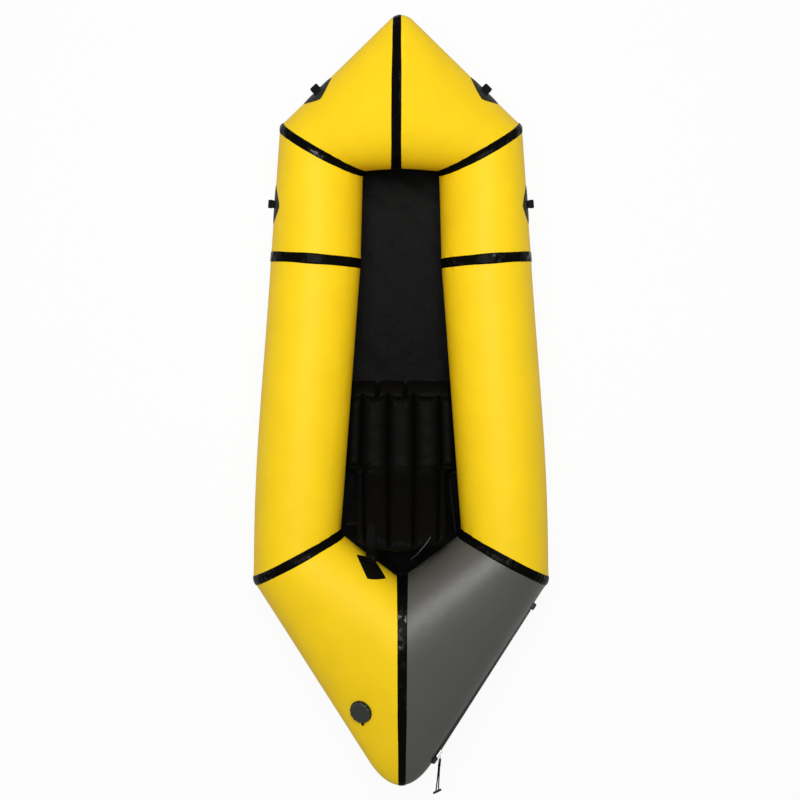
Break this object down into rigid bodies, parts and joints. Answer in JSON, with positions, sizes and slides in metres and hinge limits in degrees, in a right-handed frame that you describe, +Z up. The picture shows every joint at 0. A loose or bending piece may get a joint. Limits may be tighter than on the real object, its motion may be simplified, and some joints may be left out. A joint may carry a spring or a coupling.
{
  "type": "packraft",
  "caption": "Inflatable one-person packraft with a pointed bow and stern, a flat floor, an inflatable seat and backrest, an inflation valve and a stern zip.",
  "frame": {"origin": "on the floor's underside, under the middle of the boat as pictured", "axes": "+Y to the bow, +X to starboard, +Z up"},
  "size_m": [0.8842, 2.2448, 0.389],
  "materials": {
    "fabric_black": "coated nylon, satin",
    "hose_black": "flexible hose, slight sheen",
    "hull_fabric_grey": "coated nylon, slight sheen",
    "hull_fabric_yellow": "coated nylon, slight sheen",
    "plastic_black": "moulded plastic",
    "rubber_black": "soft moulded rubber",
    "seam_tape_black": "glossy coated seam tape",
    "slider_metal": "satin metal",
    "spring_steel": "bright wire",
    "webbing_black": "woven webbing"
  },
  "bodies": {
    "hull": {"bow_centre_tape": "seam_tape_black", "bow_corner_tape_left": "seam_tape_black", "bow_corner_tape_right": "seam_tape_black", "bow_panel_left": "hull_fabric_yellow", "bow_panel_right": "hull_fabric_yellow", "floor_edge_tape": "seam_tape_black", "floor_sheet": "fabric_black", "fore_panel_left": "hull_fabric_yellow", "fore_panel_right": "hull_fabric_yellow", "oral_tube": "hose_black", "oral_tube_boot": "rubber_black", "oral_valve_body": "plastic_black", "seat_base": "fabric_black", "seat_buckle_left": "plastic_black", "seat_buckle_right": "plastic_black", "seat_front_skirt": "fabric_black", "seat_patch_left": "fabric_black", "seat_patch_right": "fabric_black", "seat_strap_anchor_left": "webbing_black", "seat_strap_anchor_right": "webbing_black", "side_panel_left": "hull_fabric_yellow", "side_panel_right": "hull_fabric_yellow", "side_tape_left": "seam_tape_black", "side_tape_right": "seam_tape_black", "stern_centre_tape": "seam_tape_black", "stern_corner_tape_left": "seam_tape_black", "stern_corner_tape_right": "seam_tape_black", "stern_panel_left": "hull_fabric_yellow", "stern_panel_right": "hull_fabric_grey", "tiedown_loop_bow_left": "webbing_black", "tiedown_loop_bow_right": "webbing_black", "tiedown_loop_side_left": "webbing_black", "tiedown_loop_side_right": "webbing_black", "tiedown_patch_bow_left": "fabric_black", "tiedown_patch_bow_right": "fabric_black", "tiedown_patch_side_left": "fabric_black", "tiedown_patch_side_right": "fabric_black", "valve_barrel": "plastic_black", "valve_spring": "spring_steel", "valve_tether": "rubber_black", "zip_docking_end": "plastic_black", "zip_end_stop": "plastic_black", "zip_tape": "fabric_black", "zip_teeth": "plastic_black"},
    "backrest": {"seat_backrest": "fabric_black", "seat_valve_body": "plastic_black", "seat_strap_left": "webbing_black", "seat_strap_right": "webbing_black"},
    "seat_valve_cap": {"seat_valve_cap": "plastic_black"},
    "zip_slider": {"zip_slider": "slider_metal"},
    "zip_pull": {"zip_pull_ring": "slider_metal", "zip_pull_cord": "webbing_black", "zip_pull_toggle": "plastic_black"},
    "valve_cap": {"valve_cap": "plastic_black"},
    "valve_poppet": {"valve_poppet": "plastic_black", "valve_seal": "rubber_black"},
    "oral_valve_tip": {"oral_valve_tip": "plastic_black"}
  },
  "joints": [
    {"name": "backrest_fold", "type": "hinge", "parent": "hull", "child": "backrest", "pos_m": [0, -0.214, 0.0321], "axis": [-1, 0, 0], "range_deg": [0, 12], "deforming": ["seat_strap_left", "seat_strap_right"]},
    {"name": "seat_valve_cap_turn", "type": "hinge", "parent": "backrest", "child": "seat_valve_cap", "pos_m": [-0.14993, -0.36603, 0.18413], "axis": [-1, 0, 0], "range_deg": [0, 90]},
    {"name": "zip_slide", "type": "slide", "parent": "hull", "child": "zip_slider", "axis": [0.5482, 0.8335, -0.0694], "range_m": [0, 0.4896]},
    {"name": "zip_pull_swing", "type": "hinge", "parent": "zip_slider", "child": "zip_pull", "pos_m": [0.11554, -1.04918, 0.19626], "axis": [-0.1396, 0.173, 0.975], "range_deg": [-10, 90]},
    {"name": "valve_cap_turn", "type": "hinge", "parent": "hull", "child": "valve_cap", "pos_m": [-0.11639, -0.90779, 0.25174], "axis": [-0.4007, -0.2556, 0.8798], "range_deg": [0, 90]},
    {"name": "valve_poppet_press", "type": "slide", "parent": "hull", "child": "valve_poppet", "axis": [0.4007, 0.2556, -0.8798], "range_m": [0, 0.005], "stiffness_N_per_m": 600, "springref_m": -0.002, "deforming": ["valve_spring"]},
    {"name": "oral_tip_turn", "type": "hinge", "parent": "hull", "child": "oral_valve_tip", "pos_m": [0.16382, -0.38813, 0.09842], "axis": [0.1173, -0.9774, 0.1759], "range_deg": [0, 90]}
  ]
}
